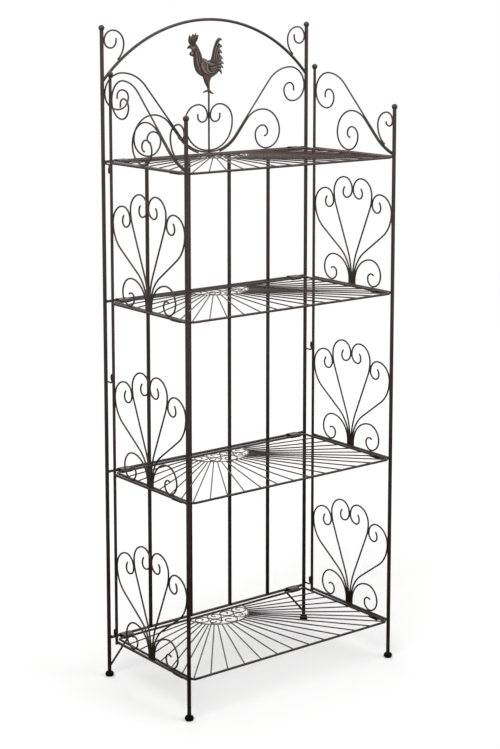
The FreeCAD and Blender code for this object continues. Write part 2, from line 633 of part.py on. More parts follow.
def side_panel(name, side):
    hinge_post = HINGE_POSTS[name]
    front_post = FRONT_POSTS[name]
    export(name + "_hinge_post", rod(*hinge_post))
    export(name + "_front_post", rod(*front_post))
    tops = [(post[1], post[2]) for post in (hinge_post, front_post)]
    export(name + "_side_finials", *[finial(top.x, top.y, top.z, dia) for top, dia in tops])
    export(name + "_front_foot", foot(front_post[0].x, front_post[0].y))
    place = on_side(side)
    rails = [rod(place(-PANEL_HALF, height), place(PANEL_HALF, height), RAIL_DIA) for height in RAILS]
    export(name + "_side_rails", *[coped(rail, hinge_post, front_post) for rail in rails])
    for level, height in zip(("upper", "middle", "lower"), RAILS[1:]):
        export("%s_%s_fan" % (name, level), *fan(height, side))
    crest = [bar(draw(), SCROLL_DIA, place) for draw in (crest_scroll, crest_branch, crest_hook)]
    export(name + "_crest_scrolls", *crest)
    export(name + "_hinge_sleeves", *[sleeve(side, height, up) for height, up in pintle_heights()])
    export(name + "_shelf_rests", *[rest(side, height) for height in RAILS])


def clip(side, rail):
    """A strap drawn tight round a back rail and loosely round a shelf's rear wire."""
    rail_centre = (REAR_Y, rail)
    wire_centre = (SHELF_REAR_Y, rail - SHELF_DROP)
    x = side * (HALF_SPACING - CLIP_INSET) - CLIP_LENGTH / 2

    def belt(thickness):
        rail_radius = RAIL_DIA / 2 + WELD_GAP + thickness
        wire_radius = FRAME_DIA / 2 + HINGE_CLEARANCE + thickness
        heading = math.degrees(math.atan2(wire_centre[1] - rail_centre[1], wire_centre[0] - rail_centre[0]))
        apart = math.hypot(wire_centre[0] - rail_centre[0], wire_centre[1] - rail_centre[1])
        lean = math.degrees(math.acos((rail_radius - wire_radius) / apart))
        first = [at(x, *ahead(rail_centre, heading + turn, rail_radius)) for turn in (lean, HALF_TURN, -lean)]
        second = [at(x, *ahead(wire_centre, heading + turn, wire_radius)) for turn in (-lean, 0, lean)]
        return Part.Face(Part.Wire([Part.Arc(*first).toShape(), Part.makeLine(first[2], second[0]),
                                    Part.Arc(*second).toShape(), Part.makeLine(second[2], first[0])]))

    length = at(CLIP_LENGTH, 0, 0)
    return belt(STRAP_THICKNESS).extrude(length).cut(belt(0).extrude(length))


def hinge_hardware():
    pintles = [pintle(side, height, up) for side in SIDES.values() for height, up in pintle_heights()]
    export("hinge_pintles", *pintles)
    export("shelf_hinge_clips", *[clip(side, height) for height in RAILS for side in SIDES.values()])


# One shelf is drawn flat, across and forward from the middle of its rear wire, and set at each level
def frame_outline(inset):
    """The frame's rounded outline, inset from the wire's axis, starting in the middle of the rear."""
    splay = math.radians(SIDE_SPLAY)
    inward = inset / math.cos(splay)
    rear_turn = QUARTER - SIDE_SPLAY
    front_turn = QUARTER + SIDE_SPLAY
    rear_radius = FRAME_REAR_RADIUS - inset
    front_radius = FRAME_FRONT_RADIUS - inset
    rear_cut = rear_radius * math.tan(math.radians(rear_turn / 2))
    front_cut = front_radius * math.tan(math.radians(front_turn / 2))
    rear_run = side_wire_at(inset) - inward - rear_cut
    side_run = (SHELF_DEPTH - 2 * inset) / math.cos(splay) - rear_cut - front_cut
    front_run = side_wire_at(SHELF_DEPTH - inset) - inward - front_cut
    wire = BentWire((0, inset), 0)
    wire.run(rear_run).bend(rear_radius, rear_turn)
    wire.run(side_run).bend(front_radius, front_turn)
    wire.run(2 * front_run).bend(front_radius, front_turn)
    wire.run(side_run).bend(rear_radius, rear_turn)
    return wire.run(rear_run)


def on_shelf(across, forward):
    return at(across, SHELF_REAR_Y - forward, 0)


def shelf_spokes():
    edges = []
    for piece in frame_outline(FRAME_DIA / 2 + WELD_GAP).pieces:
        corners = [on_shelf(*point) for point in piece]
        edges.append(Part.makeLine(*corners) if len(corners) == 2 else Part.Arc(*corners).toShape())
    inside = Part.Face(Part.Wire(edges)).extrude(at(0, 0, FRAME_DIA))
    inside.translate(at(0, 0, -FRAME_DIA / 2))
    middle = on_shelf(0, 0)
    rim_edge = RIM_RADIUS + RIM_WIDTH / 2 + WELD_GAP
    inside = inside.cut(Part.makeCylinder(rim_edge, FRAME_DIA, middle.sub(at(0, 0, FRAME_DIA / 2))))
    pitch = 2 * SHELF_FRONT_HALF / (FRONT_SPOKES - 1)
    ends = [(number * pitch - SHELF_FRONT_HALF, SHELF_DEPTH) for number in range(FRONT_SPOKES)]
    for number in range(1, SIDE_SPOKES + 1):
        forward = number * SHELF_DEPTH / (SIDE_SPOKES + 1)
        ends += [(side * side_wire_at(forward), forward) for side in SIDES.values()]
    return [rod(middle, on_shelf(*end), SPOKE_DIA).common(inside).Solids[0] for end in ends]


def rim():
    """A half ring whose ends stop at the rear wire."""
    lift = math.degrees(math.asin((FRAME_DIA / 2 + WELD_GAP) / RIM_RADIUS))
    wire = BentWire(ahead((0, 0), lift, RIM_RADIUS), lift + QUARTER)
    return level_strip(wire.bend(RIM_RADIUS, HALF_TURN - 2 * lift), RIM_WIDTH, on_shelf)


def ring_scroll(across, forward, radius, start, side):
    """One small scroll of the medallion: most of a ring, then a curl inside it."""
    bend_radius = radius - FILIGREE_WIDTH / 2
    wire = BentWire(ahead((across, forward), start, bend_radius), start + side * QUARTER)
    wire.bend(bend_radius, side * RING_TURN)
    wire.curl(scaled(RING_CURL_SHARES, bend_radius), side)
    return level_strip(wire, FILIGREE_WIDTH, on_shelf)


def medallion_scrolls():
    inner = RIM_RADIUS - RIM_WIDTH / 2
    rear_radius = REAR_RING_SHARE * inner
    rear_pitch = rear_radius + WELD_GAP / 2
    rear_forward = FRAME_DIA / 2 + WELD_GAP + rear_radius
    scrolls = [ring_scroll(0, MIDDLE_RING_FORWARD_SHARE * inner, MIDDLE_RING_SHARE * inner, HALF_TURN, 1)]
    for side in SIDES.values():
        start = QUARTER - side * QUARTER
        scrolls.append(ring_scroll(side * rear_pitch, rear_forward, rear_radius, -QUARTER, side))
        scrolls.append(ring_scroll(side * 3 * rear_pitch, rear_forward, rear_radius, -QUARTER, -side))
        scrolls.append(ring_scroll(side * 2 * rear_pitch, SIDE_RING_FORWARD_SHARE * inner,
                                   SIDE_RING_SHARE * inner, start, side))
    return scrolls


def shelves():
    pieces = {"frame": [bar(frame_outline(0), FRAME_DIA, on_shelf)], "spokes": shelf_spokes(),
              "medallion_rim": [rim()], "medallion_scrolls": medallion_scrolls()}
    for number, height in enumerate(RAILS, 1):
        for piece, solids in pieces.items():
            moved = [solid.translated(at(0, 0, height - SHELF_DROP)) for solid in solids]
            export("shelf_%d_%s" % (number, piece), *moved)


os.makedirs("parts", exist_ok=True)
back_frame()
top_arch()
back_scrolls()
rooster_and_stem()
for panel_name, panel_side in SIDES.items():
    side_panel(panel_name, panel_side)
hinge_hardware()
shelves()
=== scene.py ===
import json
import math

import bpy
import numpy as np
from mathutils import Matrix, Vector
from mathutils.geometry import delaunay_2d_cdt


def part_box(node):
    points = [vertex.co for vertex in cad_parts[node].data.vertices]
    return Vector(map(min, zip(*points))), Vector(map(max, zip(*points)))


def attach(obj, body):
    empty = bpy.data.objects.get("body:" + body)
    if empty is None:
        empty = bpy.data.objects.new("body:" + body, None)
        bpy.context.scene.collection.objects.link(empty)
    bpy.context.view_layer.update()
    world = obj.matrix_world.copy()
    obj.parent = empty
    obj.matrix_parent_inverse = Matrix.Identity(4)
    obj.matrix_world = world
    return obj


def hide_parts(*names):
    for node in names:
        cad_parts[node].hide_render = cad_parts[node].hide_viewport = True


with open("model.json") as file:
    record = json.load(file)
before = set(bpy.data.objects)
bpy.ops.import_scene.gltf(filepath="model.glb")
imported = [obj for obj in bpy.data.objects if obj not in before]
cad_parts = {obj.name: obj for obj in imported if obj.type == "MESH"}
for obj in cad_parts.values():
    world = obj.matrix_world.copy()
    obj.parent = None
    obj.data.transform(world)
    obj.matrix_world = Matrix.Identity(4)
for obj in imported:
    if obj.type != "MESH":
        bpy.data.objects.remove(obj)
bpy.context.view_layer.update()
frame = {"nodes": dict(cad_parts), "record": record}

# Camera of the photograph: place in metres, angles in degrees, lens and sensor in millimetres
CAMERA_PLACE = (-2.450, -3.133, 1.622)
CAMERA_YAW = 38.003
CAMERA_PITCH = 8.577
CAMERA_LENS = 83.15
CAMERA_SENSOR = 36.0
CAMERA_SHIFT_Y = -0.17

# Light: soft suns and a pale world, together about one on the floor
WHITE = (1.0, 1.0, 1.0, 1.0)
SUNS = (                      # strength, yaw from the front, height above the horizon, softness
    (1.1, -60.0, 50.0, 35.0),
    (0.75, 35.0, 35.0, 40.0),
    (0.5, 170.0, 40.0, 45.0),
)
WORLD_LIGHT = (0.6, 0.6, 0.6, 1.0)
MIRRORED = (0.4, 1.0)         # what gloss mirrors at the horizon and overhead
MIRRORED_RISE = (0.0, 0.3)    # the rise of the view over which the one becomes the other

# Floor: its distances are from its middle, in metres
FLOOR_COLOUR = (0.985, 0.982, 0.98, 1.0)
FLOOR_CLOUDY = (0.97515, 0.97218, 0.9702, 1.0)
FLOOR_HALF = 40.0
FLOOR_FADE = (2.2, 6.0)       # where it starts and ends to fade into the white
BOUNCE_FADE = (0.3, 5.0)      # the same for what it throws back at the rack, little near the feet
BOUNCE_SHARES = (0.08, 0.6)

# Noise patterns: scale in one metre, detail, roughness, distortion
FLOOR_CLOUDS = (1.5, 2.0, 0.5)
IRON_CLOUDS = (9.0, 3.0, 0.6)
IRON_PATCHES = (85.0, 5.0, 0.65, 0.4)
IRON_FLECKS = (850.0, 3.0, 0.7)
IRON_SPECKS = (1100.0, 2.0, 0.6)
IRON_DRIPS = (160.0, 2.0, 0.5)
ROOSTER_CLOUDS = (60.0, 4.0, 0.6)
ROOSTER_FLECKS = (330.0, 3.0, 0.7)
ROOSTER_SPECKS = (900.0, 3.0, 0.6)
ROOSTER_GRAIN = (1200.0, 3.0, 0.55)
FEET_DUST = (140.0, 4.0, 0.6)
FEET_SCUFFS = (500.0, 3.0, 0.6)
FEET_GRAIN = (1600.0, 2.0, 0.5)

# Noise values between which each pattern goes from nothing to full
MOST = (0.3, 0.7)             # most of a noise lies in here
IRON_CLOUD_SPAN = (0.32, 0.68)
IRON_PATCH_SPAN = (0.5, 0.72)
IRON_FLECK_SPAN = (0.56, 0.78)
ROOSTER_FLECK_SPAN = (0.4, 0.75)
FEET_DUST_SPAN = (0.5, 0.75)

# Paint on iron: dark and less dark clouds, paler towards the top as painted light from above, rubbed to a
# brighter brown in patches and flecks
BUMP_HEIGHT = 0.0002          # metres
IRON_DARK = (0.008, 0.0055, 0.005, 1.0)
IRON_LESS_DARK = (0.014, 0.0098, 0.0085, 1.0)
# each paint's paler colour towards the top is painted light from above
IRON_PAINTS = {               # roughness: where it is whole and where it is rubbed
    "rod": {
        "rubbed": (0.11, 0.065, 0.042, 1.0), "rubbed_share": 0.4,
        "painted_top_light": (0.098, 0.076, 0.078, 1.0), "painted_top_light_share": 0.6,
        "roughness": (0.32, 0.2), "grain": (1500.0, 3.0, 0.55),
    },
    "shelf_wire": {
        "rubbed": (0.10, 0.06, 0.042, 1.0), "rubbed_share": 0.3,
        "painted_top_light": (0.132, 0.081, 0.062, 1.0), "painted_top_light_share": 0.45,
        "roughness": (0.27, 0.16), "grain": (1800.0, 3.0, 0.55),
    },
}
TOP_LIGHT_HEIGHTS = (0.0, 1.5)     # metres: no painted top light at the first, full at the second
TOP_LIGHT_UNEVEN = (-0.1, 0.1)     # metres that the clouds move these heights by
FLECK_SHARE = 0.6             # of the share of the patches
IRON_SPECK_SHADES = (0.8, 1.2)
IRON_SPECK_ROUGHNESS = (-0.03, 0.03)
DRIP_SHARE = 1.4              # of the height of the grain
IRON_BUMP = 0.25
PAINT_SPECULAR = 0.4
IRON_TINT = (1.0, 0.80, 0.76, 1.0)

# Paint on the rooster: clouds, tinted zones, raised lines painted paler as highlights, painted shade on its
# rim and in its grooves
ROOSTER_DARK = (0.074, 0.056, 0.050, 1.0)
ROOSTER_PALE = (0.124, 0.099, 0.088, 1.0)
ROOSTER_TINTS = {
    "russet": (0.125, 0.068, 0.052, 1.0),
    "verdigris": (0.058, 0.060, 0.054, 1.0),
    "gilt": (0.19, 0.125, 0.055, 1.0),
}
# painted highlight on the raised lines
ROOSTER_RIB_HIGHLIGHT = (0.36, 0.29, 0.25, 1.0)
# painted shade along the rim and in the grooves
ROOSTER_RIM_SHADE = (0.018, 0.014, 0.014, 1.0)
ROOSTER_RIM_SHADE_SHARE = 0.7
ROOSTER_GROOVE_SHADE = (0.019, 0.015, 0.014, 1.0)
RIB_HIGHLIGHT_SPAN = (0.03, 0.3)     # relief between which the paint goes from whole to the painted highlight
GROOVE_SHADE_SPAN = (-0.4, -0.04)   # relief between which it goes from the grooves' painted shade to none of it
ROOSTER_UNEVEN = (0.5, 1.0)   # how strong tints and the painted highlight on the ribs are, by the flecks
ROOSTER_SPECK_SHADES = (0.85, 1.15)
ROOSTER_ROUGHNESS = (0.42, 0.3)
ROOSTER_SPECK_ROUGHNESS = (-0.04, 0.04)
ROOSTER_BUMP = 0.3
ROOSTER_TINT = (1.0, 0.85, 0.76, 1.0)

# Feet of moulded black plastic
FEET_BLACK = (0.0015, 0.0014, 0.0014, 1.0)
FEET_DUSTY = (0.006, 0.0058, 0.0056, 1.0)
FEET_ROUGHNESS = (0.42, 0.58)
FEET_BUMP = 0.25
FEET_SPECULAR = 0.05

# Rooster's relief, in hundredths of its height: across from its stem and up from its feet
HUNDREDTHS = 100.0
WING = ((-14.7, 52.5), (-13.6, 46), (-10.7, 40), (-4, 33), (4, 31), (11, 33), (15, 38), (16, 44), (14.7, 49),
        (6, 48), (-1, 49.6), (-7, 53.2))
THIGH = ((-9.5, 31), (-3, 33.5), (5, 30), (3, 23), (0.4, 15), (-2.2, 14.5), (-6, 20))
SWELLINGS = (                 # height in metres, width of the slope, outline
    (0.00055, 1.2, WING),
    (0.0004, 2.5, THIGH),
)
GROOVES = (                   # half width, depth, then the places that each runs through
    # neck
    (0.8, 0.55, (-28.4, 72), (-28.4, 67.5), (-27, 63)),
    (0.7, 0.5, (-25, 75.5), (-24.4, 70.5), (-22.8, 66)),
    (0.7, 0.5, (-27, 61.5), (-26.8, 55.5), (-25.2, 49.5), (-21.6, 42.5)),
    (0.7, 0.5, (-22.2, 64.5), (-21.8, 58), (-20.2, 51.6), (-18.6, 46)),
    (0.7, 0.45, (-21.2, 73.4), (-19.8, 68), (-18.4, 63.4)),
    (0.7, 0.45, (-18.2, 61.4), (-17.4, 57), (-16.8, 52.5)),
    # wing, from its front edge to its feathers, and the back over it
    (0.8, 0.6, (-16.8, 52.4), (-18, 46.4), (-16, 40.4), (-12.4, 35.6)),
    (0.7, 0.5, (-1.8, 48.6), (-1.4, 44), (0.2, 39.8), (4.2, 36.9)),
    (0.7, 0.55, (-0.4, 45.2), (6, 45.4), (11, 46), (15.6, 47.4)),
    (0.7, 0.55, (0, 41.6), (5, 41.2), (10, 41.6), (15.8, 43.2)),
    (0.7, 0.5, (1.6, 38.4), (6, 37.8), (10.6, 38.2), (14.6, 39.6)),
    (0.7, 0.5, (-3.6, 35.4), (2.6, 33.8), (7.6, 34), (12, 35.4)),
    (0.8, 0.5, (3, 52.6), (9, 51.2), (16, 49.4)),
    # tail, from the top feather down
    (0.8, 0.6, (7.4, 57.5), (9, 66), (11.6, 75), (15, 82.5), (19.5, 87.4)),
    (0.8, 0.6, (12, 56.4), (13.2, 65), (16, 74), (20.6, 82.8)),
    (0.8, 0.6, (15.6, 57), (17.6, 65), (21.8, 73.2)),
    (0.8, 0.6, (17, 55), (19.2, 59.6), (22.6, 64.2)),
    (0.8, 0.6, (17.4, 52.2), (20.6, 54.2), (24.6, 55.2)),
    (0.8, 0.6, (17.8, 48.2), (21.4, 48.6), (25.2, 48.2)),
    (0.8, 0.6, (17.6, 44), (20.6, 43.4), (23.6, 42.2)),
    (0.8, 0.6, (16.4, 39.6), (18.6, 39.2), (20.4, 37.8)),
    # thigh and leg
    (0.8, 0.6, (-13.5, 31.6), (-8.6, 33.6), (-2, 31.4)),
    (0.6, 0.4, (-6.8, 24), (-3.8, 18), (-2.2, 12)),
    # beak, comb, brow, eye and wattle
    (0.6, 0.5, (-36.6, 77.9), (-39.6, 77.2), (-42, 76.3)),
    (0.7, 0.5, (-34.6, 90), (-34.4, 87), (-33.2, 84.4)),
    (0.7, 0.5, (-28.7, 91.4), (-29.4, 87.6), (-29.8, 84.6)),
    (0.7, 0.5, (-24.9, 92.6), (-26.2, 88.4), (-27.6, 85)),
    (0.7, 0.4, (-36.2, 82.6), (-31.6, 83.2), (-26.8, 84.4)),
    (0.8, 0.7, (-34.4, 80), (-31.8, 80.7), (-29, 80.2)),
    (0.5, 0.6, (-33, 79), (-32, 78.1), (-31, 78.3), (-30.4, 79.2)),
    (0.7, 0.55, (-30.8, 70.5), (-30.4, 66.5), (-31.4, 63.2)),
)
RIBS = (                      # raised lines, written as the grooves are
    # neck
    (0.8, 0.35, (-26.6, 70), (-25.8, 65), (-24.6, 60.6)),
    (0.9, 0.45, (-25.4, 59), (-24, 53), (-22, 47), (-19, 42)),
    (0.8, 0.3, (-22.8, 72.6), (-21.8, 67.6), (-20.4, 62.4)),
    (0.8, 0.3, (-20, 60), (-19.2, 54.4), (-18.6, 50)),
    # wing
    (0.9, 0.45, (-14.7, 51), (-12.8, 44), (-9, 38), (-3, 33.6)),
    (0.9, 0.4, (-3.8, 49), (-4, 44.4), (-3, 40), (0.4, 36.4)),
    (0.8, 0.3, (3.4, 43.4), (8, 43.4), (14.6, 44.8)),
    (0.8, 0.3, (3, 39.8), (8, 39.6), (13.8, 41)),
    (0.8, 0.35, (-0.5, 35.8), (4, 35.6), (11, 36.4)),
    # tail
    (0.9, 0.4, (9.7, 57), (10.8, 65), (13.4, 74), (17, 81), (22, 86.8)),
    (0.9, 0.4, (13.9, 57.4), (15.2, 65), (18.4, 73), (23.6, 79.6)),
    (0.8, 0.4, (16.4, 56.4), (18.4, 62), (23.8, 69.4)),
    (0.8, 0.4, (17.4, 53.8), (20.4, 57.4), (25.4, 60)),
    (0.8, 0.4, (17.8, 50.2), (21.6, 51.6), (27, 51.8)),
    (0.8, 0.4, (17.8, 46), (21.6, 46.2), (26.8, 45.2)),
    (0.8, 0.4, (17.2, 41.6), (20.8, 41.4), (24.4, 37.6)),
    # back, cheek, eye and wattle
    (0.9, 0.35, (-9, 56), (-4, 52.6), (2, 50.4), (7, 49.4)),
    (0.9, 0.45, (-35.2, 77), (-32.8, 76.1), (-29.8, 76.8)),
    (0.5, 0.7, (-31.9, 79.2), (-31.7, 79.3), (-31.5, 79.2)),
    (1.4, 0.5, (-34.6, 66.6), (-34.2, 66.9), (-33.8, 67)),
)
ZONES = {                     # across, up and reach of each spot of a colour
    "gilt": ((-8.6, 46, 4.6), (-12.2, 50, 3.4), (-6, 36, 3.4), (-22, 76, 3)),
    "russet": ((-21, 50, 7), (-17, 40, 7), (-24, 60, 5), (-22, 68, 5), (-1, 26, 6)),
    "verdigris": ((1, 55, 6), (9, 52, 6), (5, 42, 6), (14, 46, 5), (-31, 86, 6), (20, 84, 5)),
}
STROKE_SPREAD = 1.35          # how far grooves and ribs spread, in their half widths

# Rooster's thickness and mesh, in metres
ROOSTER_EDGE = 0.0007         # half its thickness at the edge
ROOSTER_SWELL = 0.0019        # what its middle has more
ROOSTER_ROUND = 0.009         # from the edge to the full thickness
ROOSTER_RIM = 0.0024          # from the edge to where the painted shade of the rim ends
ROOSTER_THINNEST = 0.0004     # the least half thickness, in a deep groove
STROKE_HEIGHT = 0.0008        # height of a rib of size one
STROKE_FADE = 0.0012          # from the edge to where grooves, ribs and swellings are whole
ROOSTER_PITCH = 0.00075       # between places on its surface
EDGE_ROOM_SHARE = 0.4         # of the pitch: how near to the edge such a place may be
ROW_SHARE = math.sqrt(0.75)   # of the pitch: between rows of triangles with equal sides
SAME_PLACE = 1e-9             # two places nearer than this are one
SAME_PLACE_DIGITS = 7         # decimals of a metre by which outline places are told apart
INSIDE_ONLY = 1               # asks for triangles inside the outline alone
FACES_FRONT = -0.99           # the most that a front face's direction has along +Y
SHARP_ANGLE = 55.0            # degrees
CURVE_STEPS = 10              # short straight pieces between two places of a curve


def look_direction(yaw, pitch):
    yaw, pitch = math.radians(yaw), math.radians(pitch)
    return Vector((math.sin(yaw) * math.cos(pitch), math.cos(yaw) * math.cos(pitch), -math.sin(pitch)))


def add_object(name, data):
    thing = bpy.data.objects.new(name, data)
    bpy.context.scene.collection.objects.link(thing)
    return thing


def add_camera():
    data = bpy.data.cameras.new("photo_camera")
    data.sensor_width = CAMERA_SENSOR
    data.lens = CAMERA_LENS
    data.shift_y = CAMERA_SHIFT_Y
    camera = add_object("photo_camera", data)
    camera.location = CAMERA_PLACE
    camera.rotation_euler = look_direction(CAMERA_YAW, CAMERA_PITCH).to_track_quat("-Z", "Y").to_euler()
    bpy.context.scene.camera = camera


def add_suns():
    for number, (strength, yaw, height, softness) in enumerate(SUNS, 1):
        data = bpy.data.lights.new("sun_%d" % number, "SUN")
        data.energy = strength
        data.angle = math.radians(softness)
        lamp = add_object("sun_%d" % number, data)
        lamp.rotation_euler = look_direction(-yaw, height).to_track_quat("-Z", "Y").to_euler()


class Nodes:
    """Short ways to add and join shader nodes in one tree."""

    def __init__(self, tree):
        self.tree = tree
        tree.nodes.clear()

    def set(self, socket, value):
        if isinstance(value, bpy.types.NodeSocket):
            self.tree.links.new(value, socket)
        else:
            socket.default_value = value

    def add(self, kind, inputs=None, **settings):
        node = self.tree.nodes.new(kind)
        for name, value in settings.items():
            setattr(node, name, value)
        for name, value in (inputs or {}).items():
            self.set(node.inputs[name], value)
        return node

    def noise(self, where, scale, detail, roughness, distortion=0.0):
        inputs = {"Vector": where, "Scale": scale, "Detail": detail, "Roughness": roughness}
        return self.add("ShaderNodeTexNoise", {**inputs, "Distortion": distortion}).outputs["Fac"]

    def spread(self, value, low, high, to_low=0.0, to_high=1.0, shape="SMOOTHSTEP"):
        inputs = {"Value": value, "From Min": low, "From Max": high, "To Min": to_low, "To Max": to_high}
        return self.add("ShaderNodeMapRange", inputs, interpolation_type=shape).outputs["Result"]

    def mix(self, share, first, second, blend="MIX"):
        node = self.add("ShaderNodeMix", data_type="RGBA", blend_type=blend)
        for socket, value in ((node.inputs[0], share), (node.inputs[6], first), (node.inputs[7], second)):
            self.set(socket, value)
        return node.outputs[2]

    def maths(self, operation, first, second):
        node = self.add("ShaderNodeMath", operation=operation)
        for socket, value in zip(node.inputs, (first, second)):
            self.set(socket, value)
        return node.outputs[0]

    def grey(self, value):
        return self.add("ShaderNodeCombineColor", {"Red": value, "Green": value, "Blue": value}).outputs[0]

    def height_of(self, where):
        return self.add("ShaderNodeSeparateXYZ", {"Vector": where}).outputs["Z"]


def seen_rays(nodes):
    """One for rays from the camera and clear ones, and one for mirrored ones."""
    path = nodes.add("ShaderNodeLightPath").outputs
    return nodes.maths("MAXIMUM", path["Is Camera Ray"], path["Is Transmission Ray"]), path["Is Glossy Ray"]


def add_world():
    world = bpy.data.worlds.new("studio")
    world.use_nodes = True
    nodes = Nodes(world.node_tree)
    seen, mirrored = seen_rays(nodes)
    rise = nodes.height_of(nodes.add("ShaderNodeTexCoord").outputs["Generated"])
    overhead = nodes.spread(rise, *MIRRORED_RISE, *MIRRORED)
    grey = nodes.mix(mirrored, WORLD_LIGHT, nodes.grey(overhead))
    colour = nodes.mix(seen, grey, WHITE)
    light = nodes.add("ShaderNodeBackground", {"Color": colour, "Strength": 1.0})
    nodes.add("ShaderNodeOutputWorld", {"Surface": light.outputs[0]})
    bpy.context.scene.world = world


def new_material(name):
    material = bpy.data.materials.new(name)
    material.use_nodes = True
    nodes = Nodes(material.node_tree)
    return material, nodes, nodes.add("ShaderNodeTexCoord").outputs["Object"]


def floor_paper(name):
    """Pale paper that fades into the white and throws little light back at what stands on it."""
    material, nodes, where = new_material(name)
    away = nodes.add("ShaderNodeVectorMath", {0: where}, operation="LENGTH").outputs["Value"]
    far = nodes.spread(away, *FLOOR_FADE)
    seen, _ = seen_rays(nodes)
    white = nodes.maths("MULTIPLY", far, seen)
    cloudy = nodes.spread(nodes.noise(where, *FLOOR_CLOUDS), *MOST)
    colour = nodes.mix(cloudy, FLOOR_COLOUR, FLOOR_CLOUDY)
    colour = nodes.mix(seen, nodes.grey(nodes.spread(away, *BOUNCE_FADE, *BOUNCE_SHARES)), colour)
    paper = nodes.add("ShaderNodeBsdfDiffuse", {"Color": colour})
    glow = nodes.add("ShaderNodeEmission", {"Color": WHITE, "Strength": 1.0})
    both = nodes.add("ShaderNodeMixShader", {0: white, 1: paper.outputs[0], 2: glow.outputs[0]})
    nodes.add("ShaderNodeOutputMaterial", {"Surface": both.outputs[0]})
    return material


def add_floor():
    mesh = bpy.data.meshes.new("floor")
    corners = [(x * FLOOR_HALF, y * FLOOR_HALF, 0.0) for x, y in ((-1, -1), (1, -1), (1, 1), (-1, 1))]
    mesh.from_pydata(corners, [], [(0, 1, 2, 3)])
    mesh.materials.append(floor_paper("floor"))
    floor = add_object("floor", mesh)


def paint_shader(nodes, colour, rough, height, bump_strength, specular, tint):
    bump = nodes.add("ShaderNodeBump", {"Strength": bump_strength, "Distance": BUMP_HEIGHT, "Height": height})
    inputs = {"Base Color": colour, "Roughness": rough, "Normal": bump.outputs[0]}
    shader = nodes.add("ShaderNodeBsdfPrincipled", inputs)
    shader.inputs["Specular IOR Level"].default_value = specular
    shader.inputs["Specular Tint"].default_value = tint
    nodes.add("ShaderNodeOutputMaterial", {"Surface": shader.outputs[0]})


def iron_paint(name, rubbed, rubbed_share, painted_top_light, painted_top_light_share, roughness, grain):
    """Satin paint over iron: cloudy, paler towards the top as painted light from above, rubbed brighter in
    places, uneven in its gloss.
    """
    material, nodes, where = new_material(name)
    cloud = nodes.spread(nodes.noise(where, *IRON_CLOUDS), *IRON_CLOUD_SPAN)
    patch = nodes.spread(nodes.noise(where, *IRON_PATCHES), *IRON_PATCH_SPAN)
    speck = nodes.noise(where, *IRON_SPECKS)
    fleck = nodes.spread(nodes.noise(where, *IRON_FLECKS), *IRON_FLECK_SPAN)
    colour = nodes.mix(cloud, IRON_DARK, IRON_LESS_DARK)
    # painted light from above: the paint grows paler with height
    up = nodes.maths("ADD", nodes.height_of(where), nodes.spread(cloud, 0.0, 1.0, *TOP_LIGHT_UNEVEN))
    colour = nodes.mix(nodes.spread(up, *TOP_LIGHT_HEIGHTS, 0.0, painted_top_light_share, "LINEAR"), colour, painted_top_light)
    colour = nodes.mix(nodes.maths("MULTIPLY", patch, rubbed_share), colour, rubbed)
    colour = nodes.mix(nodes.maths("MULTIPLY", fleck, rubbed_share * FLECK_SHARE), colour, rubbed)
    shade = nodes.grey(nodes.spread(speck, *MOST, *IRON_SPECK_SHADES))
    colour = nodes.mix(1.0, colour, shade, "MULTIPLY")
    dull = nodes.spread(patch, 0.0, 1.0, *roughness)
    rough = nodes.maths("ADD", dull, nodes.spread(speck, *MOST, *IRON_SPECK_ROUGHNESS))
    drip = nodes.maths("MULTIPLY", nodes.noise(where, *IRON_DRIPS), DRIP_SHARE)
    height = nodes.maths("ADD", nodes.noise(where, *grain), drip)
    paint_shader(nodes, colour, rough, height, IRON_BUMP, PAINT_SPECULAR, IRON_TINT)
    return material


def rooster_paint(name):
    """The same paint on the cast figure: painted shade in the grooves and on the rim, painted highlights on
    the ribs, tinted zones.
    """
    material, nodes, where = new_material(name)

    def painted(word):
        return nodes.add("ShaderNodeAttribute", attribute_name=word).outputs["Fac"]

    relief = painted("relief")
    cloud = nodes.spread(nodes.noise(where, *ROOSTER_CLOUDS), *MOST)
    speck = nodes.noise(where, *ROOSTER_SPECKS)
    fleck = nodes.spread(nodes.noise(where, *ROOSTER_FLECKS), *ROOSTER_FLECK_SPAN)
    uneven = nodes.spread(fleck, 0.0, 1.0, *ROOSTER_UNEVEN)
    colour = nodes.mix(cloud, ROOSTER_DARK, ROOSTER_PALE)
    for word, tint in ROOSTER_TINTS.items():
        colour = nodes.mix(nodes.maths("MULTIPLY", painted(word), uneven), colour, tint)
    # painted highlight: the raised ribs are painted paler
    rubbed = nodes.maths("MULTIPLY", nodes.spread(relief, *RIB_HIGHLIGHT_SPAN), uneven)
    colour = nodes.mix(rubbed, colour, ROOSTER_RIB_HIGHLIGHT)
    # painted shade along the rim
    colour = nodes.mix(nodes.maths("MULTIPLY", painted("rim"), ROOSTER_RIM_SHADE_SHARE), colour, ROOSTER_RIM_SHADE)
    # painted shade in the grooves
    colour = nodes.mix(nodes.spread(relief, *GROOVE_SHADE_SPAN, 1.0, 0.0), colour, ROOSTER_GROOVE_SHADE)
    shade = nodes.grey(nodes.spread(speck, *MOST, *ROOSTER_SPECK_SHADES))
    colour = nodes.mix(1.0, colour, shade, "MULTIPLY")
    dull = nodes.spread(rubbed, 0.0, 1.0, *ROOSTER_ROUGHNESS)
    rough = nodes.maths("ADD", dull, nodes.spread(speck, *MOST, *ROOSTER_SPECK_ROUGHNESS))
    height = nodes.noise(where, *ROOSTER_GRAIN)
    paint_shader(nodes, colour, rough, height, ROOSTER_BUMP, PAINT_SPECULAR, ROOSTER_TINT)
    return material


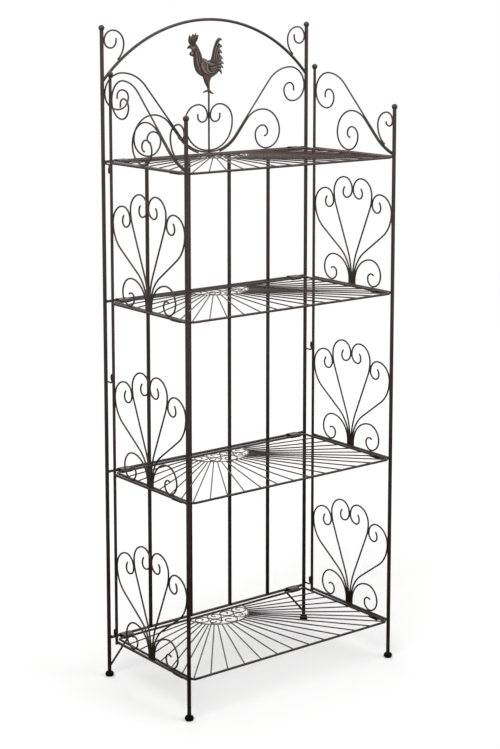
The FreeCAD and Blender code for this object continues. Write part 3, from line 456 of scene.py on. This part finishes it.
def dull_black(name):
    """Moulded black plastic, a little dusty and scuffed."""
    material, nodes, where = new_material(name)
    dust = nodes.spread(nodes.noise(where, *FEET_DUST), *FEET_DUST_SPAN)
    colour = nodes.mix(dust, FEET_BLACK, FEET_DUSTY)
    rough = nodes.spread(nodes.noise(where, *FEET_SCUFFS), *MOST, *FEET_ROUGHNESS)
    paint_shader(nodes, colour, rough, nodes.noise(where, *FEET_GRAIN), FEET_BUMP, FEET_SPECULAR, WHITE)
    return material


def front_outline(node):
    """Places round the flat front of a CAD node, in order, as across and up in metres."""
    mesh = node.data
    times = {}
    for face in mesh.polygons:
        if face.normal.y < FACES_FRONT:
            keys = [tuple(round(c, SAME_PLACE_DIGITS) for c in mesh.vertices[v].co.xz) for v in face.vertices]
            for first, second in zip(keys, keys[1:] + keys[:1]):
                edge = (min(first, second), max(first, second))
                times[edge] = times.get(edge, 0) + 1
    beside = {}
    for (first, second), count in times.items():
        if count == 1:
            beside.setdefault(first, []).append(second)
            beside.setdefault(second, []).append(first)
    start = min(beside)
    loop = [start, beside[start][0]]
    while loop[-1] != start:
        before, here = loop[-2:]
        loop.append(next(place for place in beside[here] if place != before))
    loop = np.array(loop[:-1])
    x, z = loop.T
    return loop if x @ np.roll(z, -1) > z @ np.roll(x, -1) else loop[::-1]


def rounded_path(points):
    """A smooth line through a few places."""
    points = np.array(points, float)
    padded = np.vstack([2 * points[0] - points[1], points, 2 * points[-1] - points[-2]])
    t = np.linspace(0.0, 1.0, CURVE_STEPS)[:, None]
    spans = []
    for a, b, c, d in zip(padded, padded[1:], padded[2:], padded[3:]):
        spans.append(0.5 * (2 * b + (c - a) * t + (2 * a - 5 * b + 4 * c - d) * t ** 2
                            + (3 * b - a - 3 * c + d) * t ** 3))
    return np.vstack(spans)


def distance_to(places, path, closed=False):
    """How far each place is from a line of short straight pieces."""
    ends = np.vstack([path[1:], path[:1]]) if closed else path[1:]
    nearest = np.full(len(places), np.inf)
    for first, second in zip(path, ends):
        along = second - first
        length = float(along @ along)
        share = np.clip((places - first) @ along / length, 0.0, 1.0) if length > 0 else np.zeros(len(places))
        nearest = np.minimum(nearest, np.hypot(*(places - first - share[:, None] * along).T))
    return nearest


def within(places, loop):
    """Whether each place lies inside a closed line."""
    inside = np.zeros(len(places), bool)
    for (x1, z1), (x2, z2) in zip(loop, np.roll(loop, -1, axis=0)):
        crosses = (z1 > places[:, 1]) != (z2 > places[:, 1])
        rise = np.where(crosses, z2 - z1, 1.0)
        inside ^= crosses & (places[:, 0] < x1 + (places[:, 1] - z1) * (x2 - x1) / rise)
    return inside


def plateau(places, loop, slope):
    """One inside a closed line, falling to zero over the slope outside it."""
    loop = rounded_path(loop + loop[:1])
    away = np.where(within(places, loop), 0.0, distance_to(places, loop))
    return np.clip(1.0 - away / slope, 0.0, 1.0) ** 2


def filled(outline, pitch):
    """Places that fill an outline, the triangles between them, and the edges round them."""
    low, high = outline.min(axis=0), outline.max(axis=0)
    columns = np.arange(low[0], high[0], pitch)
    rows = np.arange(low[1], high[1], pitch * ROW_SHARE)
    grid = np.array([(x + (number % 2) * pitch / 2, z) for number, z in enumerate(rows) for x in columns])
    grid = grid[within(grid, outline)]
    grid = grid[distance_to(grid, outline, True) > EDGE_ROOM_SHARE * pitch]
    count = len(outline)
    loop = [(number, (number + 1) % count) for number in range(count)]
    flat = [Vector(place) for place in np.vstack([outline, grid])]
    flat, _, faces, origins, _, _ = delaunay_2d_cdt(flat, loop, [], INSIDE_ONLY, SAME_PLACE)
    rim = {source: number for number, sources in enumerate(origins) for source in sources if source < count}
    edges = [(rim[first], rim[second]) for first, second in loop]
    return np.array([tuple(place) for place in flat]), faces, edges


def strokes_at(shares):
    """How high the ribs stand and how deep the grooves go at each place."""
    relief = np.zeros(len(shares))
    for sign, strokes in ((-1.0, GROOVES), (1.0, RIBS)):
        for width, size, *points in strokes:
            away = distance_to(shares, rounded_path(points))
            relief += sign * size * np.exp(-(away / (STROKE_SPREAD * width)) ** 2)
    return relief


def zones_at(shares):
    """How much of each zone's colour there is at each place."""
    amounts = {}
    for word, spots in ZONES.items():
        amounts[word] = np.zeros(len(shares))
        for across, up, reach in spots:
            near = np.exp(-((shares - (across, up)) ** 2).sum(axis=1) / reach ** 2)
            amounts[word] = np.maximum(amounts[word], near)
    return amounts


def two_faced(name, places, faces, edges, middle, half):
    """A mesh with the same front and back, each standing off its middle by half its thickness."""
    total = len(places)
    points = []
    for side in (-1, 1):
        points += [(x, middle + side * thick, z) for (x, z), thick in zip(places, half)]
    polygons = [tuple(face) for face in faces]
    polygons += [tuple(total + number for number in reversed(face)) for face in faces]
    polygons += [(b, a, a + total, b + total) for a, b in edges]
    mesh = bpy.data.meshes.new(name)
    mesh.from_pydata(points, [], polygons)
    mesh.polygons.foreach_set("use_smooth", [True] * len(polygons))
    mesh.set_sharp_from_angle(angle=math.radians(SHARP_ANGLE))
    return mesh


def rooster_relief(name, node):
    """The rooster as a cast figure, thick in the middle and thin at the edge, alike on both faces."""
    outline = front_outline(node)
    places, faces, edges = filled(outline, ROOSTER_PITCH)
    feet, comb = outline[:, 1].min(), outline[:, 1].max()
    shares = (places - (0.0, feet)) / (comb - feet) * HUNDREDTHS
    from_edge = distance_to(places, outline, True)
    rounding = 1.0 - np.clip(from_edge / ROOSTER_ROUND, 0.0, 1.0)
    half = ROOSTER_EDGE + ROOSTER_SWELL * np.sqrt(1.0 - rounding ** 2)
    relief = strokes_at(shares)
    raised = STROKE_HEIGHT * relief
    for height, slope, shape in SWELLINGS:
        raised += height * plateau(shares, shape, slope)
    half += np.clip(from_edge / STROKE_FADE, 0.0, 1.0) * raised
    half = np.maximum(half, ROOSTER_THINNEST)
    middle = sum(corner[1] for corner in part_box(node.name)) / 2
    mesh = two_faced(name, places, faces, edges, middle, half)
    # the rim attribute carries the painted shade along the figure's edge
    rim = np.clip(1.0 - from_edge / ROOSTER_RIM, 0.0, 1.0)
    for word, values in {"relief": relief, "rim": rim, **zones_at(shares)}.items():
        mesh.attributes.new(word, "FLOAT", "POINT").data.foreach_set("value", np.tile(values, 2))
    return add_object(name, mesh)


add_camera()
add_suns()
add_world()
add_floor()

materials = {slot: iron_paint(slot + "_paint", **paint) for slot, paint in IRON_PAINTS.items()}
materials["rooster"] = rooster_paint("rooster_paint")
materials["feet"] = dull_black("feet_black")
for part in frame["record"]["subparts"]:
    held = frame["nodes"][part["node"]].data.materials
    held.clear()
    held.append(materials[part["material_slot"]])

rooster = rooster_relief("rooster_relief", frame["nodes"]["rooster"])
rooster.data.materials.append(materials["rooster"])
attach(rooster, "back_panel")
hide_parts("rooster")

bpy.context.scene.view_settings.view_transform = "Standard"
